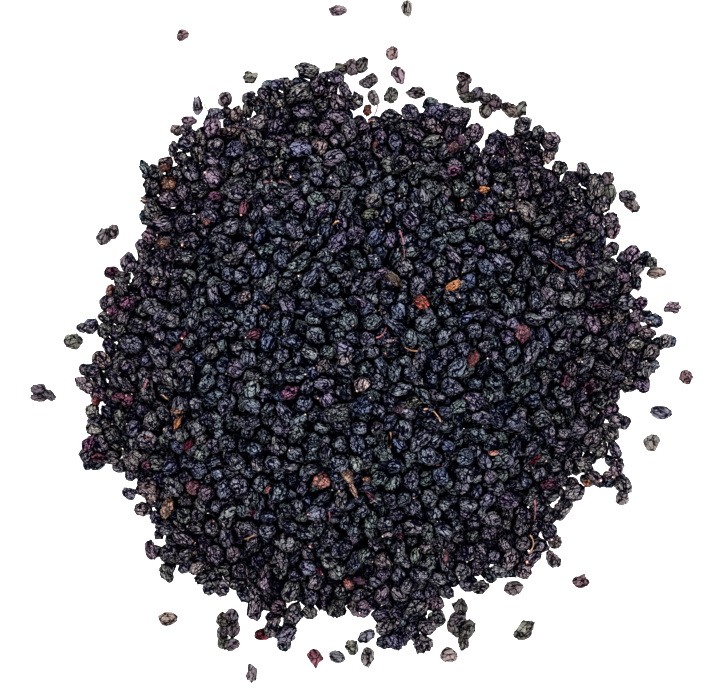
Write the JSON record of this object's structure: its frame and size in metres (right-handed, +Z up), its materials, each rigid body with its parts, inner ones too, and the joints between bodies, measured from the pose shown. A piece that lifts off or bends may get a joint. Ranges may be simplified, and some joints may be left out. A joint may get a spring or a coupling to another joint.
{
  "type": "heap of dried elderberries",
  "caption": "Low rounded heap of small, dried, wrinkled elderberries lying on a flat surface, with loose berries scattered round its ragged rim.",
  "frame": {"origin": "on the surface that the heap lies on, under the middle of the heap", "axes": "+Z up, away from the surface; +X to the right and +Y away from the viewer when the heap is seen from above as it was pictured"},
  "size_m": [0.1847, 0.1905, 0.0345],
  "materials": {
    "berry_black": "wrinkled, satin, blue-black",
    "berry_plum": "wrinkled, satin, purple-black",
    "berry_red": "wrinkled, satin, dull red",
    "berry_brown": "dry, papery, tan to brown"
  },
  "bodies": {
    "root": {"berry_heap": "berry_black", "red_berry_01": "berry_red", "red_berry_02": "berry_red", "red_berry_03": "berry_red", "red_berry_04": "berry_red", "brown_berry_01": "berry_brown", "brown_berry_02": "berry_brown", "brown_berry_03": "berry_brown", "brown_berry_04": "berry_brown", "loose_berry_01": "berry_black", "loose_berry_02": "berry_plum", "loose_berry_03": "berry_black", "loose_berry_04": "berry_black", "loose_berry_05": "berry_plum", "berry_knot_06": "berry_black", "loose_berry_07": "berry_black", "loose_berry_08": "berry_plum", "loose_berry_09": "berry_black", "loose_berry_10": "berry_black", "berry_knot_11": "berry_plum", "berry_knot_12": "berry_black", "berry_knot_13": "berry_black", "berry_knot_14": "berry_plum", "loose_berry_15": "berry_black", "loose_berry_16": "berry_black", "loose_berry_17": "berry_plum", "loose_berry_18": "berry_black", "loose_berry_19": "berry_black", "loose_berry_20": "berry_plum", "loose_berry_21": "berry_black", "loose_berry_22": "berry_black", "loose_berry_23": "berry_plum", "loose_berry_24": "berry_black", "loose_berry_25": "berry_black", "loose_berry_26": "berry_plum", "berry_knot_27": "berry_black", "loose_berry_28": "berry_black", "loose_berry_29": "berry_plum", "loose_berry_30": "berry_black", "loose_berry_31": "berry_black", "loose_berry_32": "berry_plum", "loose_berry_33": "berry_black", "berry_knot_34": "berry_black", "loose_berry_35": "berry_plum", "berry_knot_36": "berry_black", "loose_berry_37": "berry_black", "berry_knot_38": "berry_plum", "loose_berry_39": "berry_black", "loose_berry_40": "berry_black", "loose_berry_41": "berry_plum", "loose_berry_42": "berry_black", "loose_berry_43": "berry_black", "loose_berry_44": "berry_plum"}
  },
  "joints": []
}
